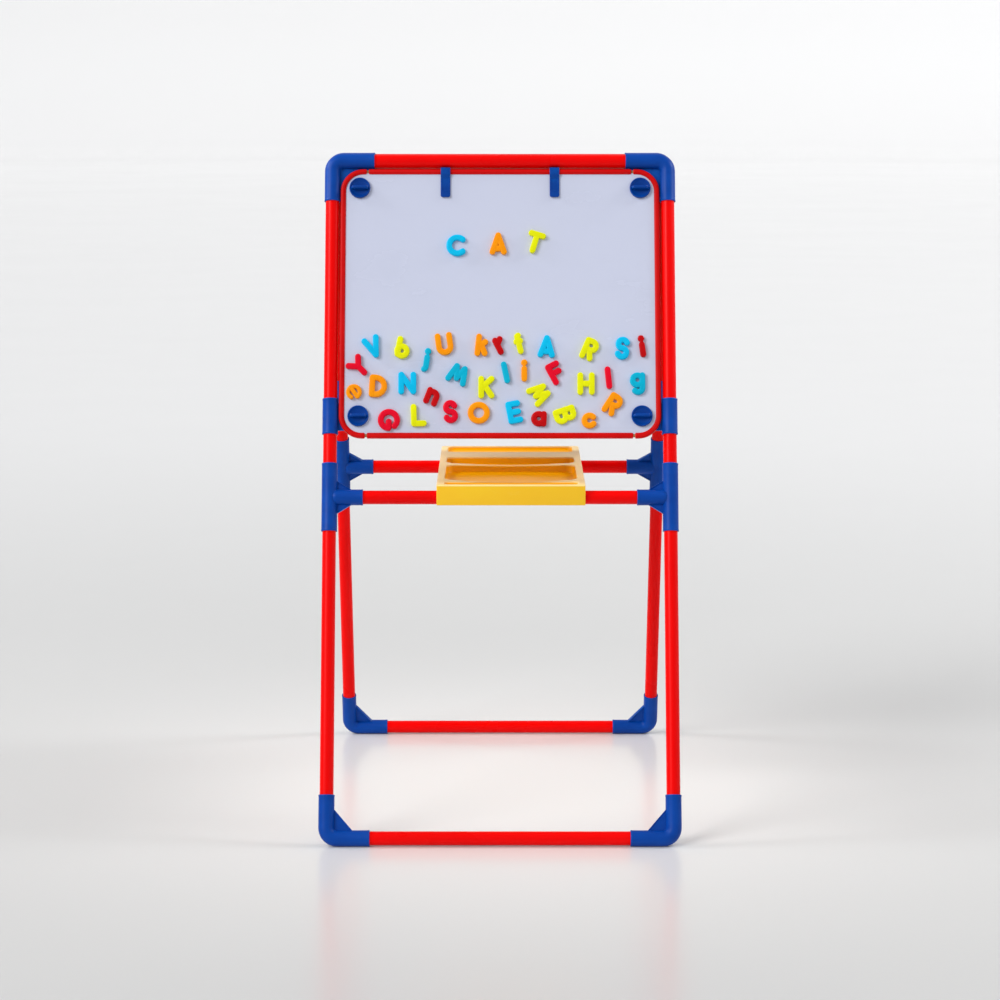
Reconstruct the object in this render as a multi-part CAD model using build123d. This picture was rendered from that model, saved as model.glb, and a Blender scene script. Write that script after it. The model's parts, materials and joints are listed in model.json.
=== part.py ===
from build123d import *
import os
from math import atan2, cos, degrees, radians, sin, sqrt

# Kids' easel: two tube frames hinged at the top, a magnetic whiteboard on the front frame, a chalkboard
# on the rear frame, a tray across the two crossbars, paper clips and a set of magnetic letters.
# Millimetres and degrees.  World frame: +X right, +Y back, +Z up, the origin on the floor at the middle.
#
# Each frame is modelled lying flat, in its own coordinates: x across, u up along the legs from the
# bottom tube's centre, and v out of the face that the child uses.  It is then stood up and leaned.

# ---- frames ----
LEG_SPACING = 560.0      # leg centre to leg centre
FRAME_LENGTH = 1128.0    # bottom tube centre to top tube centre
LEAN = 18.87             # each frame from the vertical
TOP_GAP = 27.2           # between the centres of the two top tubes
CROSSBAR_U = {"front": 557.0, "rear": 547.0}
HALF = LEG_SPACING / 2

# ---- tubes and their plastic connectors ----
TUBE_R = 11.25
TUBE_WALL = 1.0
FIT = 0.05               # radial clearance of a tube in its socket
CONNECTOR_R = 13.0
RIM_R = 13.3             # raised band at each socket's mouth
RIM_LENGTH = 3.0
SOCKET_DEPTH = 44.0
END_GAP = 0.5            # between a tube's end and its socket's floor
ELBOW_ARM = 70.0
ELBOW_BEND = 17.0
CHANNEL_R = 9.5          # bore between an elbow's two sockets
TEE_HALF = 56.7
TEE_ARM = 55.0
BRACKET_HALF = 30.0
BRACKET_U = 692.0
WEB_THICK = 4.0
RIB_THICK = 9.0
RIB_WIDTH = 2.6

# ---- hinge under the top tubes ----
HINGE_DROP = 25.0        # pivot below the top tubes' centres
EYE_R = 8.0
PIN_R = 3.0
PIN_FIT = 0.06
EYE_X = (232.0, 240.0)
EAR_X = ((224.0, 231.5), (240.5, 248.0))
HEAD_R = 5.0
HEAD_THICK = 2.0

# ---- boards ----
BOARD_HALF = 266.0
BOARD_U = (655.0, 1113.0)
BOARD_CORNER = 38.0
TRIM_WIDTH = 9.0
TRIM_V = (0.2, 8.0)
TRIM_WALL = 2.0
TRIM_SPLIT = 221.0
SPLIT_GAP = 3.4
PANEL_V = (2.1, 5.1)
PANEL_SLACK = 0.08

# ---- knobs, one at each corner of each board ----
KNOB_X = 234.0
KNOB_U = (BRACKET_U, 1080.0)
KNOB_R = 17.5
KNOB_V = 5.5
KNOB_FLANGE = 5.0
KNOB_RIB = (27.0, 6.0, 6.5)
STEM_R = 4.0
KEY_LENGTH = 18.0
KEY_WIDTH = 6.0
KEY_THICK = 3.0
SLOT_LENGTH = 20.0
SLOT_WIDTH = 9.0
TAB_V = (-4.2, -0.2)
TAB_REACH = 60.0
BOSS_R = 13.0

# ---- paper clips ----
CLIP_X = 91.0
CLIP_WIDTH = 18.0

# ---- tray, level, in world coordinates ----
TRAY_X = 18.0
TRAY_HALF = 122.0
TRAY_Y = (-216.0, 232.0)
TRAY_TOP = 563.0
TRAY_UNDER = 546.0
TRAY_WALL = 3.0
TRAY_RIM = 12.0
REST_GAP = 0.3
# each compartment: front edge, back edge, floor height, corner radius
COMPARTMENTS = (
    (-209.0, -178.0, 555.0, 9.0),
    (-158.0, 10.0, 548.5, 18.0),
    (30.0, 97.0, 549.5, 12.0),
    (158.0, 228.0, 556.5, 12.0),
)
SADDLE_DIP = 3.5         # how far the dividers are scooped at the middle
SHELL = 2.5              # wall left between a compartment and a hollow under the tray
# each hollow under the tray: front edge, back edge, roof height
HOLLOWS = (
    (-175.5, -160.5, 557.0),
    (12.5, 27.5, 557.0),
    (99.5, 155.5, 560.5),
    (160.5, 178.0, 554.0),
    (207.0, 229.0, 554.0),
)

# ---- magnetic letters ----
STROKE = 4.9             # half the width of a letter's stroke
LETTER_V = 5.4
LETTER_THICK = 6.0
MAGNET_R = 3.2
MAGNET_THICK = 2.2

FOOT_FLAT = 0.6          # depth of the flat under each lower elbow
FOOT_Z = CONNECTOR_R - FOOT_FLAT
SPREAD = TOP_GAP / 2 + FRAME_LENGTH * sin(radians(LEAN))
PIVOT_Z = FOOT_Z + FRAME_LENGTH * cos(radians(LEAN)) - HINGE_DROP
# the pivot in frame coordinates
PIVOT_U = FRAME_LENGTH + TOP_GAP / 2 * sin(radians(LEAN)) - HINGE_DROP * cos(radians(LEAN))
PIVOT_V = -(TOP_GAP / 2 * cos(radians(LEAN)) + HINGE_DROP * sin(radians(LEAN)))

STAND = {
    "front": Plane(origin=(0, -SPREAD, FOOT_Z), x_dir=(1, 0, 0),
                   z_dir=(0, -cos(radians(LEAN)), sin(radians(LEAN)))),
    "rear": Plane(origin=(0, SPREAD, FOOT_Z), x_dir=(-1, 0, 0),
                  z_dir=(0, cos(radians(LEAN)), sin(radians(LEAN)))),
}


def write(node, shape):
    """Write one node's solids to its own STEP file."""
    export_step(shape, f"parts/{node}.step")


def rod(start, end, radius):
    """Solid round bar from start to end."""
    run = Vector(*end) - Vector(*start)
    return extrude(Plane(origin=start, z_dir=run) * Circle(radius), run.length)


def tube(start, end):
    """Round steel tube from start to end."""
    return rod(start, end, TUBE_R) - rod(start, end, TUBE_R - TUBE_WALL)


def plate(outline, v0, v1):
    """Flat plate with a straight-sided outline, from v0 to v1."""
    face = make_face(Polyline(*outline, close=True))
    return Pos(0, 0, v0) * extrude(face, v1 - v0)


def rounded_slab(half_x, u0, u1, corner, v0, v1):
    """Slab with rounded corners, centred across the frame."""
    face = Pos(0, (u0 + u1) / 2) * RectangleRounded(2 * half_x, u1 - u0, corner)
    return Pos(0, 0, v0) * extrude(face, v1 - v0)


def socket(mouth, inward):
    """What a socket adds and what it removes: the rim at its mouth, and its bore."""
    start = Vector(*mouth)
    along = Vector(*inward)
    rim = rod(start, start + along * RIM_LENGTH, RIM_R)
    bore = rod(start, start + along * SOCKET_DEPTH, TUBE_R + FIT)
    return rim, bore


def gusset(corner, arm_reach, leg_reach, turn):
    """Thin web in the corner between two arms, with a rib along its free edge."""
    x, u = corner
    low = CONNECTOR_R - 3
    web = plate([(x - low, u + turn * low), (x - arm_reach, u + turn * low),
                 (x - arm_reach, u + turn * CONNECTOR_R), (x - CONNECTOR_R, u + turn * leg_reach),
                 (x - low, u + turn * leg_reach)], -WEB_THICK / 2, WEB_THICK / 2)
    slope = RIB_WIDTH * sqrt(2)
    rib = plate([(x - arm_reach, u + turn * low), (x - arm_reach, u + turn * CONNECTOR_R),
                 (x - CONNECTOR_R, u + turn * leg_reach), (x - low, u + turn * leg_reach),
                 (x - low, u + turn * (leg_reach - slope)), (x - arm_reach + slope, u + turn * low)],
                -RIB_THICK / 2, RIB_THICK / 2)
    return web + rib


def elbow(corner_u, turn, extra=None):
    """Right-hand corner connector: one socket runs inward, the other along the leg."""
    inner = (HALF - ELBOW_ARM, corner_u, 0)
    leg = (HALF, corner_u + turn * ELBOW_ARM, 0)
    path = FilletPolyline(inner, (HALF, corner_u, 0), leg, radius=ELBOW_BEND)
    start = Plane(origin=inner, z_dir=(1, 0, 0))
    body = sweep(start * Circle(CONNECTOR_R), path)
    arm_rim, arm_bore = socket(inner, (1, 0, 0))
    leg_rim, leg_bore = socket(leg, (0, -turn, 0))
    body = body + arm_rim + leg_rim
    if extra is not None:
        body = body + extra
    return body - sweep(start * Circle(CHANNEL_R), path) - arm_bore - leg_bore


def lower_elbow():
    """Bottom corner: it stands on the floor and has a gusset in its corner."""
    return elbow(0, 1, gusset((HALF, 0), 42.0, 46.5, 1))


def board_tab(u_low, u_high, knob_u):
    """Tab behind a board's corner, with a boss that the board seats on."""
    x0 = HALF - TAB_REACH
    tab = plate([(x0, u_low), (HALF - 8, u_low), (HALF - 8, u_high), (x0, u_high)], *TAB_V)
    boss = Pos(KNOB_X, knob_u, TAB_V[0]) * extrude(Circle(BOSS_R), PANEL_V[0] - 0.05 - TAB_V[0])
    return tab + boss


def knob_slot(knob_u):
    """Slot that a knob's key passes through when it is turned in line with the leg."""
    return Pos(KNOB_X, knob_u, 0) * Box(SLOT_WIDTH, SLOT_LENGTH, 30)


def hinge_lug(x_range):
    """One hinge eye or ear: a block from the tab back to the pivot, round at its end."""
    x0, x1 = x_range
    width = x1 - x0
    block = Pos((x0 + x1) / 2, PIVOT_U, (PIVOT_V + TAB_V[1]) / 2)
    arm = block * Box(width, 2 * EYE_R, TAB_V[1] - PIVOT_V)
    return arm + rod((x0, PIVOT_U, PIVOT_V), (x1, PIVOT_U, PIVOT_V), EYE_R)


def upper_elbow(lugs, hole_r):
    """Top corner: a tab for the board and the hinge lugs."""
    tab = board_tab(FRAME_LENGTH - TAB_REACH - 2, FRAME_LENGTH - 8, KNOB_U[1])
    for x_range in lugs:
        tab = tab + hinge_lug(x_range)
    tab = tab - rod((EAR_X[0][0] - 5, PIVOT_U, PIVOT_V), (EAR_X[1][1] + 5, PIVOT_U, PIVOT_V), hole_r)
    return elbow(FRAME_LENGTH, -1, tab) - knob_slot(KNOB_U[1])


def tee(bar_u):
    """Right-hand tee: the leg's two tubes and the crossbar meet in it."""
    low = (HALF, bar_u - TEE_HALF, 0)
    high = (HALF, bar_u + TEE_HALF, 0)
    arm = (HALF - TEE_ARM, bar_u, 0)
    body = rod(low, high, CONNECTOR_R) + rod(arm, (HALF, bar_u, 0), CONNECTOR_R)
    body = body + gusset((HALF, bar_u), 36.0, 27.0, 1) + gusset((HALF, bar_u), 36.0, 27.0, -1)
    for mouth, inward in ((low, (0, 1, 0)), (high, (0, -1, 0))):
        rim, bore = socket(mouth, inward)
        body = body + rim - bore
    arm_rim = rod(arm, (arm[0] + RIM_LENGTH, bar_u, 0), RIM_R)
    arm_bore = rod(arm, (HALF - CONNECTOR_R - 1, bar_u, 0), TUBE_R + FIT)
    return body + arm_rim - arm_bore


def board_bracket():
    """Sleeve on the upper leg tube, with the tab for the board's lower corner."""
    low = (HALF, BRACKET_U - BRACKET_HALF, 0)
    high = (HALF, BRACKET_U + BRACKET_HALF, 0)
    body = rod(low, high, CONNECTOR_R)
    for mouth, inward in ((low, (0, 1, 0)), (high, (0, -1, 0))):
        rim, bore = socket(mouth, inward)
        body = body + rim
    body = body + board_tab(BRACKET_U - 23, BRACKET_U + 23, BRACKET_U)
    body = body - rod(low, high, TUBE_R + FIT)
    return body - knob_slot(BRACKET_U)


def leg_tube(u0, u1):
    """Right-hand leg tube."""
    return tube((HALF, u0, 0), (HALF, u1, 0))


def cross_tube(u, half_length):
    """Tube across the frame."""
    return tube((-half_length, u, 0), (half_length, u, 0))


def board_panel():
    """Flat panel with a slot for each knob."""
    edge = TRIM_WALL + PANEL_SLACK
    panel = rounded_slab(BOARD_HALF - edge, BOARD_U[0] + edge, BOARD_U[1] - edge, BOARD_CORNER - edge, *PANEL_V)
    for knob_u in KNOB_U:
        panel = panel - knob_slot(knob_u) - mirror(knob_slot(knob_u), Plane.YZ)
    return panel


def board_trim():
    """Channel round the panel's edge, before it is cut into its four pieces."""
    outer = rounded_slab(BOARD_HALF, *BOARD_U, BOARD_CORNER, *TRIM_V)
    outer = fillet(outer.faces().sort_by(Axis.Z)[-1].edges(), 1.6)
    opening = rounded_slab(BOARD_HALF - TRIM_WIDTH, BOARD_U[0] + TRIM_WIDTH, BOARD_U[1] - TRIM_WIDTH,
                           BOARD_CORNER - TRIM_WIDTH, TRIM_V[0] - 1, TRIM_V[1] + 1)
    groove = rounded_slab(BOARD_HALF - TRIM_WALL, BOARD_U[0] + TRIM_WALL, BOARD_U[1] - TRIM_WALL,
                          BOARD_CORNER - TRIM_WALL, PANEL_V[0] - PANEL_SLACK, PANEL_V[1] + PANEL_SLACK)
    ring = outer - opening
    ring = fillet(ring.faces().sort_by(Axis.Z)[-1].inner_wires()[0].edges(), 1.2)
    return ring - groove


def trim_pieces():
    """The trim's straight top and bottom strips and its C-shaped right end."""
    ring = board_trim()
    middle_u = sum(BOARD_U) / 2
    strip = 2 * (TRIM_SPLIT - SPLIT_GAP / 2)
    end_x = TRIM_SPLIT + SPLIT_GAP / 2
    top = ring & (Pos(0, middle_u + 250) * Box(strip, 500, 40))
    bottom = ring & (Pos(0, middle_u - 250) * Box(strip, 500, 40))
    end = ring & (Pos(end_x + 100, middle_u) * Box(200, 600, 40))
    return top, bottom, end


def knob(knob_u):
    """Quarter-turn knob: domed head with a thumb rib, a stem and a key that locks behind the tab."""
    head = extrude(Circle(KNOB_R), KNOB_FLANGE)
    head = fillet(head.faces().sort_by(Axis.Z)[-1].edges(), 1.8)
    rib_length, rib_width, rib_height = KNOB_RIB
    rib = Pos(0, 0, KNOB_FLANGE - 1) * extrude(SlotOverall(rib_length, rib_width), rib_height + 1)
    rib = fillet(rib.faces().sort_by(Axis.Z)[-1].edges(), 1.2)
    key_v = TAB_V[0] - 0.4 - KEY_THICK
    stem = Pos(0, 0, key_v - KNOB_V) * extrude(Circle(STEM_R), KNOB_V - key_v)
    key = Pos(0, 0, key_v - KNOB_V) * extrude(SlotOverall(KEY_LENGTH, KEY_WIDTH), KEY_THICK)
    return Pos(KNOB_X, knob_u, KNOB_V) * (head + rib + stem + key)


def paper_clip():
    """Spring clip hooked over the board's top edge; its profile is pulled across the clip's width."""
    top = BOARD_U[1] + 2.4
    front = TRIM_V[1] + 0.5
    grip = PANEL_V[1] + 0.9
    profile = [(top, -2.2), (top, front + 2), (BOARD_U[1] - TRIM_WIDTH - 2, front + 2),
               (BOARD_U[1] - 15, grip + 2.2), (BOARD_U[1] - 40, grip + 2.2), (BOARD_U[1] - 50, grip + 3.6),
               (BOARD_U[1] - 50, grip + 1.4), (BOARD_U[1] - 40, grip), (BOARD_U[1] - 14, grip),
               (BOARD_U[1] - TRIM_WIDTH - 1, front), (BOARD_U[1] + 0.6, front), (BOARD_U[1] + 0.6, -0.4),
               (BOARD_U[1] - 30, -0.4), (BOARD_U[1] - 30, -2.2)]
    face = make_face(Polyline(*[(0, u, v) for u, v in profile], close=True))
    clip = extrude(face, CLIP_WIDTH / 2, dir=(1, 0, 0), both=True)
    return Pos(CLIP_X, 0, 0) * clip


def bar_centre(frame):
    """World position of a crossbar's centre line."""
    u = CROSSBAR_U[frame]
    side = -1 if frame == "front" else 1
    y = side * (SPREAD - u * sin(radians(LEAN)))
    return y, FOOT_Z + u * cos(radians(LEAN))


def tray():
    """Tray with four compartments: it hooks over the front crossbar and rests on the rear one."""
    y0, y1 = TRAY_Y
    front_y, front_z = bar_centre("front")
    rear_y, rear_z = bar_centre("rear")
    bar_side = TUBE_R + 1.0

    def block(ya, yb, za, zb, half=TRAY_HALF):
        return Pos(TRAY_X, (ya + yb) / 2, (za + zb) / 2) * Box(2 * half, yb - ya, zb - za)

    body = block(y0, y1, TRAY_UNDER, TRAY_TOP)
    body = fillet(body.edges().filter_by(Axis.Z), 5.0)
    body = body + block(y0 + 0.01, y0 + TRAY_WALL, front_z - 10.5, TRAY_TOP - 1, TRAY_HALF - 5)
    body = body - block(y0 + TRAY_WALL, front_y + bar_side, TRAY_UNDER - 30, front_z + TUBE_R + REST_GAP,
                        TRAY_HALF + 1)
    body = body + block(front_y + bar_side, front_y + bar_side + 2.6, front_z - 6.5, TRAY_UNDER + 1, TRAY_HALF - 5)
    body = body + block(rear_y - 10, rear_y + 10, rear_z + TUBE_R + REST_GAP, TRAY_UNDER + 1, TRAY_HALF - 5)
    body = body + block(rear_y + bar_side, rear_y + bar_side + TRAY_WALL, rear_z - 1, TRAY_UNDER + 1,
                        TRAY_HALF - 5)
    inner = TRAY_HALF - TRAY_RIM
    for ya, yb, floor, corner in COMPARTMENTS:
        face = Pos(TRAY_X, (ya + yb) / 2, floor) * RectangleRounded(2 * inner, yb - ya, corner)
        body = body - extrude(face, 40)
    for ya, yb, roof in HOLLOWS:
        body = body - block(ya, yb, TRAY_UNDER - 1, roof, inner)
    for side in (-1, 1):
        rim_x = side * (inner + TRAY_RIM / 2)
        hollow = Pos(TRAY_X + rim_x, (y0 + y1) / 2 + 30, (TRAY_UNDER + TRAY_TOP) / 2 - SHELL)
        body = body - hollow * Box(TRAY_RIM - 2 * SHELL, y1 - y0 - 80, TRAY_TOP - TRAY_UNDER)
    saddle_r = (inner ** 2 + SADDLE_DIP ** 2) / (2 * SADDLE_DIP)
    ya, yb = COMPARTMENTS[0][0] + 10, COMPARTMENTS[2][0] + 10
    saddle = rod((TRAY_X, ya, TRAY_TOP - SADDLE_DIP + saddle_r), (TRAY_X, yb, TRAY_TOP - SADDLE_DIP + saddle_r),
                 saddle_r)
    return body - saddle


def bar(x0, y0, x1, y1, half=STROKE):
    """Straight stroke with round ends."""
    ends = Pos(x0, y0) * Circle(half) + Pos(x1, y1) * Circle(half)
    across, up = x1 - x0, y1 - y0
    place = Location(((x0 + x1) / 2, (y0 + y1) / 2, 0), (0, 0, degrees(atan2(up, across))))
    return ends + place * Rectangle(sqrt(across ** 2 + up ** 2), 2 * half)


def bow(cx, cy, radius, start, turn, half=STROKE):
    """Stroke along an arc, with round ends."""
    if abs(turn) >= 360:
        return Pos(cx, cy) * (Circle(radius + half) - Circle(radius - half))
    outer = CenterArc((0, 0), radius + half, start, turn)
    inner = CenterArc((0, 0), radius - half, start, turn)
    ring = make_face([outer, Line(outer @ 1, inner @ 1), inner, Line(inner @ 0, outer @ 0)])
    middle = CenterArc((0, 0), radius, start, turn)
    ends = Pos(middle @ 0) * Circle(half) + Pos(middle @ 1) * Circle(half)
    return Pos(cx, cy) * (ring + ends)


THIN = 3.5
NECK = 2.5
# each letter: where its magnet sits, then its strokes
GLYPHS = {
    "A": ((0, 13), [bar(-9.5, -14, 0, 14), bar(0, 14, 9.5, -14), bar(-6.5, -6, 6.5, -6)]),
    "B": ((-7.5, 0), [bar(-7.5, -14, -7.5, 14), bar(-7.5, 14, 1, 14), bow(1, 7.3, 6.7, 90, -180),
                      bar(1, 0.6, -7.5, 0.6), bow(2, -6.7, 7.3, 90, -180), bar(2, -14, -7.5, -14),
                      bar(2, 0.6, 0, 0.6)]),
    "C": ((-12.5, 0), [bow(1, 0, 13.5, 48, 264)]),
    "D": ((-9, 0), [bar(-9, -14, -9, 14), bar(-9, 14, -3, 14), bow(-3, 0, 14, 90, -180), bar(-3, -14, -9, -14)]),
    "E": ((-7, 0), [bar(-7, -14, -7, 14), bar(-7, 14, 8, 14), bar(-7, 0, 7, 0), bar(-7, -14, 8, -14)]),
    "F": ((-7, 1), [bar(-7, -14, -7, 14), bar(-7, 14, 8, 14), bar(-7, 1, 6, 1)]),
    "G": ((-13.5, 0), [bow(0, 0, 13.5, 45, 315), bar(13.5, 0, 3, 0)]),
    "H": ((-9.5, 0), [bar(-9.5, -14, -9.5, 14), bar(9.5, -14, 9.5, 14), bar(-9.5, 0, 9.5, 0)]),
    "I": ((0, 0), [bar(0, -14, 0, 14)]),
    "K": ((-8, 0), [bar(-8, -14, -8, 14), bar(-8, -2, 9, 14), bar(-3, 3, 9, -14)]),
    "L": ((-7, 0), [bar(-7, 14, -7, -14), bar(-7, -14, 9, -14)]),
    "M": ((-7, 11), [bar(-13, -12, -7, 12), bar(-7, 12, 0, -7), bar(0, -7, 7, 12), bar(7, 12, 13, -12)]),
    "N": ((-10, 12), [bar(-10, -14, -10, 14), bar(-10, 14, 10, -14), bar(10, -14, 10, 14)]),
    "O": ((-13.5, 0), [bow(0, 0, 13.5, 0, 360)]),
    "R": ((-7.5, 0), [bar(-7.5, -14, -7.5, 14), bar(-7.5, 14, 1, 14), bow(1, 6.5, 7.5, 90, -180),
                      bar(1, -1, -7.5, -1), bar(0, -1, 6, -14)]),
    "S": ((0.5, 0), [bow(0.5, 7.2, 7.2, 20, 250), bow(0.5, -7.2, 7.2, 90, -250)]),
    "T": ((0, 13), [bar(-10, 14, 10, 14), bar(0, 14, 0, -14)]),
    "U": ((0, -14), [bar(-9.5, 14, -9.5, -4.5), bow(0, -4.5, 9.5, 180, 180), bar(9.5, -4.5, 9.5, 14)]),
    "V": ((0, -12), [bar(-10, 14, 0, -14), bar(0, -14, 10, 14)]),
    "Y": ((0, 0), [bar(-11, 12, 0, 0), bar(11, 12, 0, 0), bar(0, 0, 0, -14)]),
    "a": ((7, 0), [bow(-1, 0, 8, 0, 360), bar(7, 8, 7, -8)]),
    "b": ((-6.5, 4), [bow(0, -6, 8, 0, 360), bar(-6.5, 13.5, -6.5, -12)]),
    "c": ((-8, 0), [bow(0.5, 0, 8.5, 42, 276)]),
    "e": ((0, 0), [bow(0, 0, 9.6, 0, 300, THIN), bar(-9.6, 0, 9.6, 0, THIN)]),
    "f": ((0, 0), [bar(0, -13.5, 0, 12), bar(-3.2, 3.5, 3.2, 3.5), bar(0, 12, 2, 13)]),
    "g": ((7, 0), [bow(-1, 6, 8, 0, 360), bar(7, 14, 7, -7), bow(0, -7, 7, 0, -140)]),
    "i": ((0, -5), [Pos(0, 13.5) * Circle(5.4), bar(0, 3, 0, -13.5), bar(0, 13, 0, 5, NECK)]),
    "j": ((1, -5), [Pos(1, 15) * Circle(5.4), bar(1, 4.5, 1, -11), bar(1, 14, 1, 5, NECK),
                    bow(-4, -11, 5, 0, -60)]),
    "k": ((-5, 8), [bar(-5, 14, -5, -14), bar(-4, -4, 6, 6), bar(0, 0, 7, -13)]),
    "l": ((0, 0), [bar(0, -13.5, 0, 13.5)]),
    "n": ((-7, 0), [bar(-7, 9.5, -7, -9.5), bow(0, 1.5, 7, 180, -180), bar(7, 1.5, 7, -9.5)]),
    "r": ((-3, -2), [bar(-3, 10, -3, -11), bar(-3, 2, 5, 9)]),
}

# where each letter stands on the whiteboard: letter, x, u, turn anticlockwise
LETTERS = {
    "cyan": [("C", -72, 981, 0), ("V", -210, 808, 21), ("A", 77, 809, -3), ("S", 202, 806, -6),
             ("N", -153, 747, 0), ("E", 23, 698, 11)],
    "teal": [("j", -122, 786, -8), ("M", -69, 762, -22), ("l", 9, 765, 12), ("g", 228, 746, 0)],
    "orange": [("A", -3, 984, 0), ("U", -92, 813, 8), ("k", -31, 811, -6), ("i", 40, 768, 0),
               ("e", -241, 732, -55), ("D", -202, 742, -3), ("R", 186, 711, -33), ("O", -35, 697, 0),
               ("c", 147, 684, 3)],
    "yellow": [("T", 58, 986, -17), ("b", -161, 807, -11), ("f", 31, 814, 14), ("R", 148, 804, -23),
               ("H", 142, 746, 0), ("K", -23, 740, 0), ("M", 65, 729, -57), ("L", -135, 693, 2), ("B", 107, 694, -71)],
    "crimson": [("Y", -234, 775, 45), ("F", 92, 764, 28), ("I", 179, 756, 6), ("G", -183, 685, -93),
                ("S", -82, 699, 3)],
    "dark_red": [("r", -1, 811, 27), ("i", 235, 809, 8), ("n", -112, 724, -21), ("a", 65, 687, -2)],
}


def letter(name):
    """One letter, and the magnet in its back."""
    spot, strokes = GLYPHS[name]
    face = strokes[0]
    for stroke in strokes[1:]:
        face = face + stroke
    body = extrude(face, LETTER_THICK)
    pocket = Pos(*spot) * extrude(Circle(MAGNET_R + FIT), MAGNET_THICK + FIT)
    magnet = Pos(*spot) * extrude(Circle(MAGNET_R), MAGNET_THICK)
    return body - pocket, magnet


def letter_group(places):
    """All the letters of one colour, each with its magnet."""
    solids = []
    for name, x, u, turn in places:
        place = Location((x, u, LETTER_V), (0, 0, turn))
        for shape in letter(name):
            solids.append(STAND["front"].location * place * shape)
    return Compound(children=solids)


def build_frame(name, lugs, hole_r):
    """One frame's tubes and connectors."""
    stand = STAND[name].location
    bar_u = CROSSBAR_U[name]
    elbow_floor = ELBOW_ARM - SOCKET_DEPTH + END_GAP
    tee_floor = TEE_HALF - SOCKET_DEPTH + END_GAP
    right = {
        "lower_elbow": lower_elbow(),
        "lower_tube": leg_tube(elbow_floor, bar_u - tee_floor),
        "tee": tee(bar_u),
        "upper_tube": leg_tube(bar_u + tee_floor, FRAME_LENGTH - elbow_floor),
        "board_bracket": board_bracket(),
        "upper_elbow": upper_elbow(lugs, hole_r),
    }
    # the rear frame is turned round, so its own right is the easel's left
    own_right, own_left = ("right", "left") if name == "front" else ("left", "right")
    floor = Pos(0, 0, -50) * Box(2000, 2000, 100)
    for piece, shape in right.items():
        write(f"{name}_{own_right}_{piece}", stand * shape - floor)
        write(f"{name}_{own_left}_{piece}", stand * mirror(shape, Plane.YZ) - floor)
    write(f"{name}_bottom_tube", stand * cross_tube(0, HALF - elbow_floor))
    write(f"{name}_top_tube", stand * cross_tube(FRAME_LENGTH, HALF - elbow_floor))
    write(f"{name}_crossbar", stand * cross_tube(bar_u, HALF - CONNECTOR_R - 1 - END_GAP))


def build_board(frame, board):
    """One board with its trim and its four knobs."""
    stand = STAND[frame].location
    own_right, own_left = ("right", "left") if frame == "front" else ("left", "right")
    top, bottom, end = trim_pieces()
    write(f"{board}_panel", stand * board_panel())
    write(f"{board}_trim_top", stand * top)
    write(f"{board}_trim_bottom", stand * bottom)
    write(f"{board}_trim_{own_right}", stand * end)
    write(f"{board}_trim_{own_left}", stand * mirror(end, Plane.YZ))
    for level, knob_u in zip(("lower", "upper"), KNOB_U):
        shape = knob(knob_u)
        write(f"{board}_knob_{level}_{own_right}", stand * shape)
        write(f"{board}_knob_{level}_{own_left}", stand * mirror(shape, Plane.YZ))


def hinge_pin():
    """Right-hand hinge pin, with a head at each end."""
    x0 = EAR_X[0][0] - 0.3
    x1 = EAR_X[1][1] + 0.3
    pin = rod((x0, 0, PIVOT_Z), (x1, 0, PIVOT_Z), PIN_R)
    near = rod((x0 - HEAD_THICK, 0, PIVOT_Z), (x0, 0, PIVOT_Z), HEAD_R)
    far = rod((x1, 0, PIVOT_Z), (x1 + HEAD_THICK, 0, PIVOT_Z), HEAD_R)
    return pin + near + far


os.makedirs("parts", exist_ok=True)
build_frame("front", (EYE_X,), PIN_R + FIT)
build_frame("rear", EAR_X, PIN_R + PIN_FIT)
write("hinge_pin_right", hinge_pin())
write("hinge_pin_left", mirror(hinge_pin(), Plane.YZ))
build_board("front", "whiteboard")
build_board("rear", "chalkboard")
write("paper_clip_right", STAND["front"].location * paper_clip())
write("paper_clip_left", STAND["front"].location * mirror(paper_clip(), Plane.YZ))
write("tray", tray())
for colour, places in LETTERS.items():
    write(f"letters_{colour}", letter_group(places))
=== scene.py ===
import bmesh
import bpy
import json
from math import atan2, cos, hypot, pi, radians, sin
from mathutils import Matrix, Vector


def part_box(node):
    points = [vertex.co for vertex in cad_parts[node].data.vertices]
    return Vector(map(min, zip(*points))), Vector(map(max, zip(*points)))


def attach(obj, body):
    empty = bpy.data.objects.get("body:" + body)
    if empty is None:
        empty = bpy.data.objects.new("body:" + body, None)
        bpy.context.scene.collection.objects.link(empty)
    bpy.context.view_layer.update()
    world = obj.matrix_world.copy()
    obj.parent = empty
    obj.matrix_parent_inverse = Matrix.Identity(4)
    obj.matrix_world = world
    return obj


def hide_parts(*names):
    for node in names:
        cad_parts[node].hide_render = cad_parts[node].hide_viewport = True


# Kids' easel.  Pieces are modelled in millimetres, lying flat like the CAD frames: x across, y up along
# the legs and z out of the board's face.  Each is then stood up on its frame.

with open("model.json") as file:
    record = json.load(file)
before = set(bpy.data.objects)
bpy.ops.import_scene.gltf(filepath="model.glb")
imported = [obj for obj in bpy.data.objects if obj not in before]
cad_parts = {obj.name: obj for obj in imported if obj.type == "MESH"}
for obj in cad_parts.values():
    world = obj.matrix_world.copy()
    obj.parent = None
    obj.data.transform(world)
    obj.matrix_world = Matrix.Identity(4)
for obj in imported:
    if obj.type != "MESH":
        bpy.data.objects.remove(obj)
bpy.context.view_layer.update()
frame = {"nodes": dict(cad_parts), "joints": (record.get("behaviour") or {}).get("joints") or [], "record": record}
nodes = frame["nodes"]
BODY_OF = {node: body for body, members in frame["record"]["behaviour"]["bodies"].items() for node in members}
SLOT_OF = {node: piece.material_slots[0].material.name for node, piece in nodes.items()}


# ---------------------------------------------------------------- where things stand

def middle(node):
    low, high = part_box(node)
    return (low + high) / 2


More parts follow.
